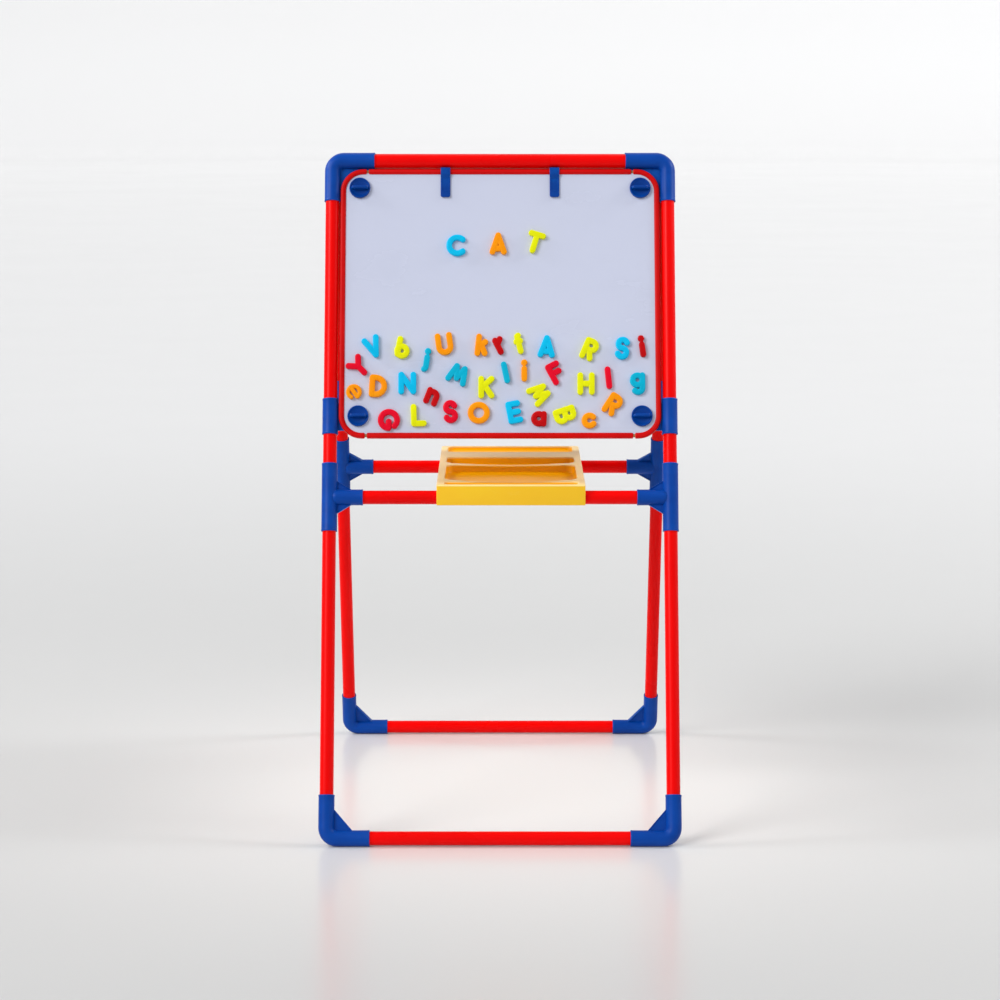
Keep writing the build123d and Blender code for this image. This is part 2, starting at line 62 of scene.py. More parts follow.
def standing(name):
    """How a flat frame stands: its across, up and out directions, in metres for each millimetre."""
    foot, head = middle(f"{name}_bottom_tube"), middle(f"{name}_top_tube")
    across = Vector((1, 0, 0)) if name == "front" else Vector((-1, 0, 0))
    up = (head - foot).normalized()
    place = Matrix((across, up, across.cross(up))).transposed().to_4x4() * 0.001
    place.translation = foot
    place[3][3] = 1
    return place


STAND = {"front": standing("front"), "rear": standing("rear")}
LEVEL = Matrix.Scale(0.001, 4)


def reach(node, place):
    """Lowest and highest corner of a CAD node in flat millimetres."""
    back = place.inverted()
    points = [back @ vertex.co for vertex in nodes[node].data.vertices]
    return (Vector([min(p[i] for p in points) for i in range(3)]),
            Vector([max(p[i] for p in points) for i in range(3)]))


HALF = sum(reach("front_right_lower_tube", STAND["front"])[i].x for i in (0, 1)) / 2
LENGTH = (middle("front_top_tube") - middle("front_bottom_tube")).length * 1000
BAR_U = {name: (middle(f"{name}_crossbar") - middle(f"{name}_bottom_tube")).length * 1000 for name in STAND}
BRACKET = reach("front_right_board_bracket", STAND["front"])
BRACKET_U = (BRACKET[0].y + BRACKET[1].y) / 2
BRACKET_HALF = (BRACKET[1].y - BRACKET[0].y) / 2
ELBOW_ARM = HALF - reach("front_right_lower_elbow", STAND["front"])[0].x
TEE_LOW, TEE_HIGH = reach("front_right_tee", STAND["front"])
TEE_HALF = (TEE_HIGH.y - TEE_LOW.y) / 2
TEE_ARM = HALF - TEE_LOW.x
BOARD_LOW = reach("whiteboard_trim_bottom", STAND["front"])[0]
BOARD_HIGH = reach("whiteboard_trim_top", STAND["front"])[1]
BOARD_HALF = reach("whiteboard_trim_right", STAND["front"])[1].x
TRIM_END = reach("whiteboard_trim_right", STAND["front"])[0].x
STRIP_HALF = BOARD_HIGH.x
PANEL_LOW, PANEL_HIGH = reach("whiteboard_panel", STAND["front"])
KNOB_AT = {}
for joint in frame["joints"]:
    if joint["name"].endswith("_turn"):
        name = "front" if joint["child"].startswith("whiteboard") else "rear"
        spot = STAND[name].inverted() @ Vector(joint["pos_m"])
        KNOB_AT[joint["child"]] = (name, round(spot.x, 2), round(spot.y, 2))
KNOB_X = max(x for _, x, _ in KNOB_AT.values())
KNOB_TOP_U = max(u for _, _, u in KNOB_AT.values())
KNOB_SEAT = 5.5
PIVOT = {name: STAND[name].inverted() @ middle("hinge_pin_right") for name in STAND}

TUBE_BORE = 11.3
SLEEVE_R = 13.0
BAND_R = 13.3                # raised band at a socket's mouth
BEND_R = 17.0
TAB = (-4.2, -0.2)           # back and front of the tabs behind a board
BOSS_R = 13.0
SLOT_HALF_WIDTH = 4.5
SLOT_HALF_LENGTH = 10.0
EYE_R = 8.0
PIN_BORE = 3.05
LUG_TOP = -2.0               # inside the tab that the lug grows from
BOARD_CORNER = 38.0


# ---------------------------------------------------------------- working at the bench

def begin():
    """Open an empty piece in edit mode."""
    bpy.ops.object.select_all(action="DESELECT")
    bpy.ops.mesh.primitive_plane_add(size=1)
    bpy.ops.object.mode_set(mode="EDIT")
    bpy.ops.mesh.delete(type="VERT")


def pick(test, kind="FACE"):
    """Select the faces, edges or points on the bench that pass a test of their middle and normal."""
    bpy.context.tool_settings.mesh_select_mode = (kind == "VERT", kind == "EDGE", kind == "FACE")
    bpy.ops.mesh.select_all(action="DESELECT")
    mesh = bmesh.from_edit_mesh(bpy.context.object.data)
    found = 0
    for part in {"FACE": mesh.faces, "EDGE": mesh.edges, "VERT": mesh.verts}[kind]:
        if part.hide:
            continue
        if kind == "FACE":
            chosen = test(part.calc_center_median(), part.normal)
        elif kind == "EDGE":
            a, b = part.verts[0].co, part.verts[1].co
            chosen = test((a + b) / 2, b - a)
        else:
            chosen = test(part.co, None)
        if chosen:
            part.select_set(True)
            found += 1
    bmesh.update_edit_mesh(bpy.context.object.data)
    return found


def pick_rim(face_counts, test=lambda c: True):
    """Select the edges that have one of these numbers of faces and pass a test of their middle."""
    bpy.context.tool_settings.mesh_select_mode = (False, True, False)
    bpy.ops.mesh.select_all(action="DESELECT")
    mesh = bmesh.from_edit_mesh(bpy.context.object.data)
    for edge in mesh.edges:
        if len(edge.link_faces) in face_counts and test((edge.verts[0].co + edge.verts[1].co) / 2):
            edge.select_set(True)
    bmesh.update_edit_mesh(bpy.context.object.data)


def pick_all():
    bpy.ops.mesh.select_all(action="SELECT")


def shift(x=0, y=0, z=0):
    bpy.ops.transform.translate(value=(x, y, z))


def push(x=0, y=0, z=0):
    """Extrude what is selected."""
    bpy.ops.mesh.extrude_region_move(TRANSFORM_OT_translate={"value": (x, y, z)})


def stretch(x, y, z, about):
    bpy.ops.transform.resize(value=(x, y, z), center_override=about)


def soften(width, steps=3):
    """Round the selected edges."""
    bpy.ops.mesh.bevel(offset=width, segments=steps, profile=0.5, affect="EDGES", clamp_overlap=True)


def set_aside(holes=False):
    """Close the shell on the bench, turn its faces outwards and put it out of the way of the next one."""
    pick_all()
    bpy.ops.mesh.remove_doubles(threshold=0.002)
    if holes:
        pick_all()
        bpy.ops.mesh.fill_holes(sides=0)
    pick_all()
    bpy.ops.mesh.normals_make_consistent(inside=False)
    bpy.ops.mesh.hide(unselected=False)


def finish(name, angle=38):
    """Take the piece off the bench."""
    bpy.ops.mesh.reveal(select=True)
    bpy.ops.object.mode_set(mode="OBJECT")
    piece = bpy.context.object
    bpy.ops.object.shade_smooth_by_angle(angle=radians(angle))
    piece.name = name
    return piece


def block(low, high):
    """A block between two corners, all of it selected."""
    low, high = Vector(low), Vector(high)
    centre = (low + high) / 2
    bpy.context.tool_settings.mesh_select_mode = (False, False, True)
    bpy.ops.mesh.primitive_cube_add(size=1, location=centre)
    stretch(*(high - low), centre)


def soft_block(low, high, width, steps=3):
    """A block with every edge rounded."""
    block(low, high)
    soften(width, steps)
    set_aside()


def draw(points):
    """Draw a chain of edges from point to point."""
    points = [Vector(p) for p in points]
    bpy.context.tool_settings.mesh_select_mode = (True, False, False)
    bpy.ops.mesh.primitive_plane_add(size=0.01, location=points[0])
    bpy.ops.mesh.merge(type="CENTER")
    for start, end in zip(points, points[1:]):
        bpy.ops.mesh.extrude_vertices_move(TRANSFORM_OT_translate={"value": end - start})


def turn_up(outline, centre=(0, 0, 0), steps=48):
    """Turn an outline of (radius, height) round the z axis, as on a lathe."""
    centre = Vector(centre)
    draw([centre + Vector((radius, 0, height)) for radius, height in outline])
    pick_all()
    bpy.ops.mesh.spin(steps=steps, angle=2 * pi, center=centre, axis=(0, 0, 1))
    set_aside()


def ring(centre, facing, radius, count=48):
    """A ring of points that faces along a direction."""
    bpy.context.tool_settings.mesh_select_mode = (False, True, False)
    turn = Vector(facing).to_track_quat("Z", "Y").to_euler()
    bpy.ops.mesh.primitive_circle_add(vertices=count, radius=radius, location=centre, rotation=turn)


def carry(start, radius, stations):
    """Carry the selected ring through (centre, radius) stations."""
    here = Vector(start)
    for centre, size in stations:
        centre = Vector(centre)
        push(*(centre - here))
        if size != radius:
            stretch(*(3 * [size / radius]), centre)
        here, radius = centre, size


def swing(angle, centre, steps=10):
    """Bend the selected edges round a centre; a positive angle is anticlockwise seen from in front."""
    bpy.ops.mesh.spin(steps=steps, angle=-angle, center=centre, axis=(0, 0, 1))


# ---------------------------------------------------------------- finishes

class Level:
    """A number that changes over a surface; arithmetic on it adds Math nodes."""

    def __init__(self, finish, socket):
        self.finish = finish
        self.socket = socket

    def sum(self, operation, *values):
        return self.finish.node("ShaderNodeMath", {"operation": operation}, *values)

    def __add__(self, other):
        return self.sum("ADD", self, other)

    def __radd__(self, other):
        return self.sum("ADD", other, self)

    def __sub__(self, other):
        return self.sum("SUBTRACT", self, other)

    def __rsub__(self, other):
        return self.sum("SUBTRACT", other, self)

    def __mul__(self, other):
        return self.sum("MULTIPLY", self, other)

    def __rmul__(self, other):
        return self.sum("MULTIPLY", other, self)

    def ramp(self, low, high):
        """0 below low, 1 above high, smooth between."""
        return self.finish.node("ShaderNodeMapRange", {"interpolation_type": "SMOOTHSTEP"},
                                self, low, high, 0.0, 1.0)


class Finish:
    """One surface finish, built from nodes round the shader."""

    def __init__(self, name, **fixed):
        self.material = bpy.data.materials.new(name)
        self.material.use_nodes = True
        self.tree = self.material.node_tree
        self.shader = self.tree.nodes["Principled BSDF"]
        for socket, value in fixed.items():
            self.set(socket.replace("_", " "), value)
        self.place = self.node("ShaderNodeTexCoord", {}, output="Object")

    def node(self, kind, settings, *values, output=0, **named):
        """Add a node: its settings first, then the values or links of its sockets."""
        node = self.tree.nodes.new(kind)
        for setting, value in settings.items():
            setattr(node, setting, value)
        sockets = list(enumerate(values)) + [(key.replace("_", " "), value) for key, value in named.items()]
        for key, value in sockets:
            self.join(value, node.inputs[key])
        return Level(self, node.outputs[output])

    def join(self, value, socket):
        if isinstance(value, Level):
            self.tree.links.new(value.socket, socket)
        else:
            socket.default_value = value

    def set(self, socket, value):
        self.join(value, self.shader.inputs[socket])

    def noise(self, scale, detail=3.0, rough=0.55, stretch=None):
        place = self.place
        if stretch:
            place = self.node("ShaderNodeMapping", {}, self.place, Scale=stretch)
        return self.node("ShaderNodeTexNoise", {}, Vector=place, Scale=scale, Detail=detail, Roughness=rough)

    def mix(self, factor, first, second):
        """Blend two colours."""
        node = self.tree.nodes.new("ShaderNodeMix")
        node.data_type = "RGBA"
        for index, value in ((0, factor), (6, first), (7, second)):
            self.join(value, node.inputs[index])
        return Level(self, node.outputs[2])

    def edges(self, low=0.515, high=0.58):
        """1 along convex outer edges, which take rubbed wear and a painted highlight, 0 on the flats."""
        return self.node("ShaderNodeNewGeometry", {}, output="Pointiness").ramp(low, high)

    def bump(self, height, distance, strength=1.0):
        bumped = self.node("ShaderNodeBump", {}, Strength=strength, Distance=distance, Height=height)
        self.set("Normal", bumped)


def paint(red, green, blue):
    """A colour as eight-bit paint numbers, made linear."""
    def line(value):
        value /= 255
        return value / 12.92 if value <= 0.04045 else ((value + 0.055) / 1.055) ** 2.4
    return (line(red), line(green), line(blue), 1.0)


def moulded_plastic(name, colour, deep, rubbed_and_highlight, gloss=0.34):
    """Injection-moulded plastic: faint flow marks, fine mould grain, and outer edges and crests paler and
    smoother, partly from rubbed wear and partly as a painted highlight.
    """
    f = Finish(name, IOR=1.49, Specular_IOR_Level=0.15)
    flow = f.noise(14.0, 2.0, stretch=(1.0, 1.0, 3.0))
    fine = f.noise(900.0, 3.0)
    scuffs = f.noise(60.0, 5.0, 0.7).ramp(0.56, 0.75)
    # paler edges and crests: rubbed wear, and also a painted highlight where light catches them
    worn_and_highlit = f.edges() * (0.35 + 0.65 * f.noise(120.0).ramp(0.4, 0.65))
    body = f.mix(flow.ramp(0.25, 0.75) * 0.55 + fine * 0.12, deep, colour)
    f.set("Base Color", f.mix(worn_and_highlit * 0.22, body, rubbed_and_highlight))
    f.set("Roughness", gloss + flow * 0.06 + scuffs * 0.12 + fine * 0.05 - worn_and_highlit * 0.08)
    f.bump(fine + scuffs * 0.6 + flow * 2.0, 0.00002, 0.6)
    return f.material


def enamelled_tube():
    """Red stove enamel on steel tube: orange peel, fine scratches and a slight sheen change."""
    f = Finish("red_stove_enamel", IOR=1.5, Specular_IOR_Level=0.1)
    peel = f.noise(420.0, 2.0, 0.45)
    cloud = f.noise(6.0, 3.0)
    scratches = f.noise(140.0, 6.0, 0.75).ramp(0.64, 0.76)
    nicks = f.noise(260.0, 2.0).ramp(0.78, 0.84)
    body = f.mix(cloud.ramp(0.3, 0.7) * 0.6 + peel * 0.2, paint(236, 0, 0), paint(250, 0, 0))
    body = f.mix(scratches * 0.12, body, paint(250, 30, 30))
    f.set("Base Color", f.mix(nicks * 0.4, body, paint(120, 0, 0)))
    f.set("Roughness", 0.24 + cloud * 0.08 + scratches * 0.14)
    f.bump(peel + scratches * 0.3, 0.00005, 0.5)
    return f.material


def bead_plastic():
    """The softer red plastic of the boards' edging."""
    # the third paint goes on rubbed edges and is partly a painted highlight
    return moulded_plastic("red_edging_plastic", paint(218, 0, 0), paint(202, 0, 0), paint(236, 12, 14))


def facing_out(f, name, depth):
    """1 on a board's working face, 0 on its edges and back."""
    out = STAND[name].to_3x3() @ Vector((0, 0, 1))
    out.normalize()
    face = (STAND[name] @ Vector((0, 0, depth))).dot(out)
    along = f.node("ShaderNodeVectorMath", {"operation": "DOT_PRODUCT"}, f.place, tuple(out), output="Value")
    return along.ramp(face - 0.0004, face - 0.0002)


def within_edging(f, name):
    """1 on the part of a panel that the edging leaves open, 0 under the edging."""
    up = (STAND[name].to_3x3() @ Vector((0, 1, 0))).normalized()
    low, high = (STAND[name] @ Vector((0, u, 0)) for u in (BOARD_LOW.y + 7, BOARD_HIGH.y - 7))
    along = f.node("ShaderNodeVectorMath", {"operation": "DOT_PRODUCT"}, f.place, tuple(up), output="Value")
    start, end = low.dot(up), high.dot(up)
    return along.ramp(start, start + 0.0003) * (1 - along.ramp(end - 0.0003, end))


def hardboard(f):
    """Pressed-fibre board, seen at the edge and the back."""
    fibre = f.noise(320.0, 5.0, 0.7, stretch=(1.0, 0.35, 0.35))
    weave = f.node("ShaderNodeTexVoronoi", {}, Vector=f.place, Scale=700.0)
    colour = f.mix(fibre.ramp(0.3, 0.7) * 0.8 + weave * 0.2, paint(132, 92, 54), paint(196, 156, 104))
    return colour, fibre + weave


def writing_board():
    """White dry-wipe enamel with faint wiped marks, on hardboard."""
    f = Finish("white_dry_wipe_board", IOR=1.5, Coat_Weight=0.2, Coat_Roughness=0.2)
    front = facing_out(f, "front", PANEL_HIGH.z)
    back, fibres = hardboard(f)
    front = front * within_edging(f, "front")
    wiped = f.noise(9.0, 5.0, 0.6, stretch=(0.5, 1.0, 1.0)).ramp(0.45, 0.75)
    streaks = f.noise(38.0, 4.0, 0.65, stretch=(0.35, 1.6, 1.6)).ramp(0.58, 0.78)
    ripple = f.noise(24.0, 2.0)
    face = f.mix(wiped * 0.5, paint(204, 209, 230), paint(198, 203, 224))
    face = f.mix(streaks * 0.12, face, paint(190, 194, 212))
    f.set("Base Color", f.mix(front, back, face))
    f.set("Roughness", front * (0.24 + wiped * 0.08 + streaks * 0.02) + (1 - front) * 0.85)
    f.bump(front * ripple * 0.1 + (1 - front) * fibres, 0.0002, 0.35)
    return f.material


def chalk_board():
    """Matt black chalkboard paint with rubbed-out chalk dust, on hardboard."""
    f = Finish("black_chalk_board", IOR=1.45)
    front = facing_out(f, "rear", PANEL_HIGH.z)
    back, fibres = hardboard(f)
    dust = f.noise(7.0, 6.0, 0.65, stretch=(0.6, 1.0, 1.0)).ramp(0.42, 0.72)
    sweeps = f.noise(30.0, 5.0, 0.7, stretch=(0.3, 1.5, 1.5)).ramp(0.5, 0.75)
    tooth = f.noise(1500.0, 3.0, 0.7)
    face = f.mix(dust * 0.35 + sweeps * 0.2, paint(34, 38, 40), paint(126, 130, 130))
    f.set("Base Color", f.mix(front, back, face))
    f.set("Roughness", front * (0.74 + dust * 0.16) + (1 - front) * 0.85)
    f.bump(front * tooth + (1 - front) * fibres, 0.0002, 0.4)
    return f.material


def tray_plastic():
    """Thick plastic: yellow in front, orange inside the pans, the rim tops painted pale as a painted highlight,
    and the edges paler from rubbed wear and a painted highlight.
    """
    f = Finish("orange_tray_plastic", IOR=1.49, Specular_IOR_Level=0.16)
    low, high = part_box("tray")
    height = f.node("ShaderNodeSeparateXYZ", {}, f.place, output="Z")
    inward = f.node("ShaderNodeSeparateXYZ", {}, f.place, output="Y").ramp(low.y + 0.001, low.y + 0.003)
    # painted highlight: the tops of the rims are painted pale, as their sheen
    rim_highlight_painted = height.ramp(high.z - 0.0035, high.z - 0.0008)
    flow = f.noise(10.0, 2.0)
    fine = f.noise(800.0, 3.0)
    scuffs = f.noise(70.0, 6.0, 0.75, stretch=(0.6, 1.0, 1.0)).ramp(0.55, 0.75)
    worn_and_highlit = f.edges()
    body = f.mix(flow.ramp(0.3, 0.7) * 0.7 + fine * 0.2, paint(255, 196, 0), paint(255, 206, 4))
    body = f.mix(inward, body, paint(255, 178, 0))
    # painted highlight on the rim tops, then rubbed wear and painted highlight on the edges
    body = f.mix(rim_highlight_painted * 0.75, body, paint(255, 232, 170))
    body = f.mix(worn_and_highlit * 0.3 + scuffs * 0.05, body, paint(255, 230, 150))
    f.set("Base Color", body)
    f.set("Roughness", 0.3 + flow * 0.06 + scuffs * 0.14 - worn_and_highlit * 0.06)
    f.bump(fine + scuffs * 0.5, 0.00003, 0.5)
    return f.material


def pin_steel():
    """Zinc-plated steel of the hinge pins."""
    f = Finish("zinc_plated_steel", Metallic=1.0)
    spangle = f.node("ShaderNodeTexVoronoi", {}, Vector=f.place, Scale=900.0)
    turning = f.noise(200.0, 3.0, stretch=(8.0, 1.0, 1.0))
    f.set("Base Color", f.mix(spangle * 0.6 + turning * 0.3, paint(150, 152, 156), paint(206, 208, 210)))
    f.set("Roughness", 0.28 + spangle * 0.1 + turning * 0.12)
    f.bump(turning, 0.00003, 0.4)
    return f.material


def magnet_ferrite():
    """Dark sintered magnet in the back of each letter."""
    f = Finish("dark_ferrite", Metallic=0.2)
    grain = f.noise(1800.0, 4.0, 0.7)
    f.set("Base Color", f.mix(grain, paint(38, 38, 40), paint(74, 74, 76)))
    f.set("Roughness", 0.5 + grain * 0.25)
    f.bump(grain, 0.00004, 0.6)
    return f.material


# each: colour, deep, and the paler paint for rubbed edges and crests, partly a painted highlight
BLUE = (paint(0, 74, 172), paint(0, 62, 152), paint(10, 118, 216))
DEEP_BLUE = (paint(0, 70, 160), paint(0, 56, 140), paint(4, 108, 204))
FINISHES = {
    "red_tube": enamelled_tube(),
    "red_trim": bead_plastic(),
    "blue_connector": moulded_plastic("blue_connector_plastic", *BLUE),
    "blue_knob": moulded_plastic("blue_knob_plastic", *DEEP_BLUE, gloss=0.3),
    "blue_clip": moulded_plastic("blue_clip_plastic", *DEEP_BLUE, gloss=0.28),
    "white_board": writing_board(),
    "chalk_board": chalk_board(),
    "orange_tray": tray_plastic(),
    "steel_pin": pin_steel(),
}
# each: colour, deep, and the paler paint for rubbed edges, partly a painted highlight
LETTER_PAINTS = {
    "cyan": ((0, 198, 242), (0, 184, 232), (20, 214, 250)),
    "teal": ((0, 186, 218), (0, 172, 206), (20, 208, 226)),
    "orange": ((255, 162, 0), (250, 144, 0), (255, 196, 80)),
    "yellow": ((240, 246, 0), (226, 228, 0), (250, 252, 110)),
    "crimson": ((240, 0, 42), (222, 0, 36), (250, 30, 70)),
    "dark_red": ((206, 0, 10), (184, 0, 6), (236, 40, 44)),
}
for colour, paints in LETTER_PAINTS.items():
    FINISHES[f"letters_{colour}"] = moulded_plastic(f"{colour}_letter_plastic", *(paint(*p) for p in paints),
                                                    gloss=0.26)
FERRITE = magnet_ferrite()


# ---------------------------------------------------------------- putting pieces in place

def place_piece(pattern, node, stand, mirrored=False, moved=(0, 0, 0)):
    """Copy a modelled piece, stand it in its place and let it stand for its CAD node."""
    piece = pattern.copy()
    piece.data = pattern.data.copy()
    piece.name = f"{node}_moulding"
    bpy.context.scene.collection.objects.link(piece)
    place = stand @ Matrix.Translation(moved)
    if mirrored:
        place = stand @ Matrix.Scale(-1, 4, (1, 0, 0)) @ Matrix.Translation(moved)
    piece.data.transform(place)
    if mirrored:
        piece.data.flip_normals()
    slot = SLOT_OF[node]
    piece.data.materials.append(FINISHES[slot])
    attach(piece, BODY_OF[node])
    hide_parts(node)


def scrap(pattern):
    """The pattern has been copied to all its places."""
    bpy.data.objects.remove(pattern)


def sides(name):
    """The CAD's words for a flat frame's own right and left."""
    return (("right", False), ("left", True)) if name == "front" else (("left", False), ("right", True))


# ---------------------------------------------------------------- connectors

# a socket's mouth, as (how far in from the mouth, radius): bore, rounded lip, raised band, sleeve
MOUTH = ((30.0, TUBE_BORE), (0.9, TUBE_BORE), (0.3, 11.5), (0.0, 12.0), (0.0, 12.5), (0.25, 13.05),
         (0.8, BAND_R),
         (2.5, BAND_R), (3.1, 13.1), (3.7, SLEEVE_R))


def mouth(at, inward):
    """Stations through a socket's mouth, from its bore to its sleeve."""
    at, inward = Vector(at), Vector(inward)
    return [(at + inward * depth, radius) for depth, radius in MOUTH]


def gusset(x_reach, u_reach, u, turn):
    """Web in the corner between arm and leg: recessed on both faces, with a rib along its free edge."""
    low = min(u + turn * 9.5, u + turn * u_reach)
    high = max(u + turn * 9.5, u + turn * u_reach)
    block((HALF - x_reach, low, -4.4), (HALF - 9.5, high, 4.4))
    arm_end = Vector((HALF - x_reach, u + turn * 12.6, 0))
    leg_end = Vector((HALF - 12.6, u + turn * u_reach, 0))
    along = leg_end - arm_end
    free = Vector((-turn * along.y, turn * along.x, 0)).normalized()
    pick_all()
    bpy.ops.mesh.bisect(plane_co=arm_end, plane_no=free, use_fill=True, clear_outer=True)
    for side in (-1, 1):
        pick(lambda c, n: n.z * side > 0.9)
        bpy.ops.mesh.inset(thickness=2.4)
        shift(z=-side * 2.3)
    pick(lambda c, d: abs(d.z) > 2 * hypot(d.x, d.y) and abs(c.z) > 1
         and (c - arm_end).dot(free) < -1.5, "EDGE")
    soften(3.0, 3)
    pick(lambda c, d: abs(c.z) > 4.3 and (c - arm_end).dot(free) > -0.5, "EDGE")
    soften(1.0, 2)
    set_aside()


def elbow_shell(corner_u, turn):
    """The bent sleeve of a corner connector, from one socket round to the other."""
    arm = mouth((HALF - ELBOW_ARM, corner_u, 0), (1, 0, 0))
    leg = mouth((HALF, corner_u + turn * ELBOW_ARM, 0), (0, -turn, 0))
    bend_start = (HALF - BEND_R, corner_u, 0)
    ring(arm[0][0], (1, 0, 0), arm[0][1])
    carry(arm[0][0], arm[0][1], arm[1:] + [(bend_start, SLEEVE_R)])
    swing(turn * pi / 2, (HALF - BEND_R, corner_u + turn * BEND_R, 0))
    carry((HALF, corner_u + turn * BEND_R, 0), SLEEVE_R, leg[::-1])
    set_aside(holes=True)


def slotted(x, u, v0, v1):
    """Cut a knob's slot in the flat outline on the bench, then thicken it."""
    for side in (-1, 1):
        for point, normal in (((x + side * SLOT_HALF_WIDTH, u, 0), (1, 0, 0)),
                              ((x, u + side * SLOT_HALF_LENGTH, 0), (0, 1, 0))):
            pick_all()
            bpy.ops.mesh.bisect(plane_co=point, plane_no=normal)
    pick(lambda c, n: abs(c.x - x) < SLOT_HALF_WIDTH and abs(c.y - u) < SLOT_HALF_LENGTH)
    bpy.ops.mesh.delete(type="FACE")
    pick_all()
    push(z=v1 - v0)


def board_tab(u_low, u_high, knob_u):
    """Tab behind a board's corner, with the boss that the board seats on."""
    back, front = TAB
    boss_top = PANEL_LOW.z - 0.05
    low, high = Vector((HALF - 60, u_low, back)), Vector((HALF - 8, u_high, back))
    centre = (low + high) / 2
    bpy.ops.mesh.primitive_plane_add(size=1, location=centre)
    stretch(high.x - low.x, high.y - low.y, 1, centre)
    bpy.ops.mesh.bevel(offset=6, segments=5, affect="VERTICES")
    slotted(KNOB_X, knob_u, back, front)
    set_aside()
    bpy.context.tool_settings.mesh_select_mode = (False, False, True)
    bpy.ops.mesh.primitive_circle_add(vertices=40, radius=BOSS_R, fill_type="NGON",
                                      location=(KNOB_X, knob_u, back + 1))
    slotted(KNOB_X, knob_u, back + 1, boss_top)
    pick(lambda c, d: c.z > boss_top - 0.05 and hypot(c.x - KNOB_X, c.y - knob_u) > BOSS_R - 1, "EDGE")
    soften(0.5, 2)
    set_aside()


def hinge_lug(x0, x1, pivot, bore):
    """One eye of the hinge: a washer round the pin, drawn out to the tab."""
    for radius in (bore, EYE_R):
        bpy.context.tool_settings.mesh_select_mode = (False, True, False)
        bpy.ops.mesh.primitive_circle_add(vertices=32, radius=radius, location=(x0, pivot.y, pivot.z),
                                          rotation=(0, pi / 2, 0))
    pick_all()
    bpy.ops.mesh.bridge_edge_loops()
    pick_all()
    push(x=x1 - x0)
    pick_all()
    bpy.ops.mesh.normals_make_consistent(inside=False)
    pick(lambda c, n: n.z > 0.05 and hypot(c.y - pivot.y, c.z - pivot.z) > EYE_R - 1)
    push(z=4)
    stretch(1, 1, 0, (x0, pivot.y, LUG_TOP))
    pick(lambda c, n: n.z > 0.9 and c.z > pivot.z + 9)
    shift(z=LUG_TOP - max(v.co.z for v in bmesh.from_edit_mesh(bpy.context.object.data).verts if v.select))
    pick(lambda c, d: abs(d.x) < 0.01 and c.z < -3
         and hypot(c.y - pivot.y, c.z - pivot.z) > EYE_R - 0.5, "EDGE")
    soften(0.5, 2)
    set_aside()


def model_lower_elbow(stand):
    """Bottom corner, with a flat where it stands on the floor."""
    begin()
    elbow_shell(0, 1)
    bpy.ops.mesh.reveal(select=True)
    down = (stand.inverted().to_3x3() @ Vector((0, 0, -1))).normalized()
    bpy.ops.mesh.bisect(plane_co=down * stand.translation.z * 1000, plane_no=down, use_fill=True,
                        clear_outer=True)
    set_aside()
    gusset(42.0, 46.5, 0, 1)
    return finish("lower_elbow_pattern")


def model_upper_elbow(name):
    begin()
    elbow_shell(LENGTH, -1)
    board_tab(LENGTH - 62, LENGTH - 8, KNOB_TOP_U)
    pivot = PIVOT[name]
    lugs = ((232.0, 240.0),) if name == "front" else ((224.0, 231.5), (240.5, 248.0))
    for x0, x1 in lugs:
        hinge_lug(x0, x1, pivot, PIN_BORE)
    return finish(f"{name}_upper_elbow_pattern")


def model_tee(u):
    """Tee whose arm ends in a rounded tongue over the leg's sleeve."""
    begin()
    low = mouth((HALF, u - TEE_HALF, 0), (0, 1, 0))
    high = mouth((HALF, u + TEE_HALF, 0), (0, -1, 0))
    ring(low[0][0], (0, 1, 0), low[0][1])
    carry(low[0][0], low[0][1], low[1:] + high[::-1])
    set_aside(holes=True)
    arm = mouth((HALF - TEE_ARM, u, 0), (1, 0, 0))
    tip = [((HALF - 12 + BAND_R * sin(radians(d)), u, 0), BAND_R * cos(radians(d))) for d in range(0, 61, 12)]
    ring(arm[0][0], (1, 0, 0), arm[0][1])
    carry(arm[0][0], arm[0][1], arm[1:] + [((HALF - 16, u, 0), SLEEVE_R)] + tip)
    set_aside(holes=True)
    for turn in (-1, 1):
        gusset(36.0, 27.0, u, turn)
    return finish("tee_pattern")


def model_bracket():
    """Sleeve on the leg, with the tab behind the board's lower corner."""
    begin()
    low = mouth((HALF, BRACKET_U - BRACKET_HALF, 0), (0, 1, 0))
    high = mouth((HALF, BRACKET_U + BRACKET_HALF, 0), (0, -1, 0))
    ring(low[1][0], (0, 1, 0), low[1][1])
    carry(low[1][0], low[1][1], low[2:] + high[:0:-1])
    pick(lambda c, d: min(abs(c.y - low[1][0].y), abs(c.y - high[1][0].y)) < 0.01
         and abs(hypot(c.x - HALF, c.z) - TUBE_BORE) < 0.2, "EDGE")
    bpy.ops.mesh.bridge_edge_loops()
    set_aside()
    board_tab(BRACKET_U - 23, BRACKET_U + 23, BRACKET_U)
    return finish("bracket_pattern")


for name, stand in STAND.items():
    patterns = {
        "lower_elbow": model_lower_elbow(stand),
        "tee": model_tee(BAR_U[name]),
        "board_bracket": model_bracket(),
        "upper_elbow": model_upper_elbow(name),
    }
    for kind, pattern in patterns.items():
        for side, mirrored in sides(name):
            place_piece(pattern, f"{name}_{side}_{kind}", stand, mirrored)
        scrap(pattern)


# ---------------------------------------------------------------- boards' edging

# the edging's section: how far in from the board's outer edge, and how far out of its face
BEAD = ((0.5, 0.2), (0.0, 0.8), (0.0, 4.6), (0.25, 6.0), (0.95, 7.2), (2.1, 7.85), (3.6, 8.0), (5.6, 8.0),
        (6.5, 7.75), (6.9, 7.2), (7.3, 6.95), (8.3, 6.85), (8.85, 6.4), (9.0, 5.6), (9.0, 0.8), (8.5, 0.2))
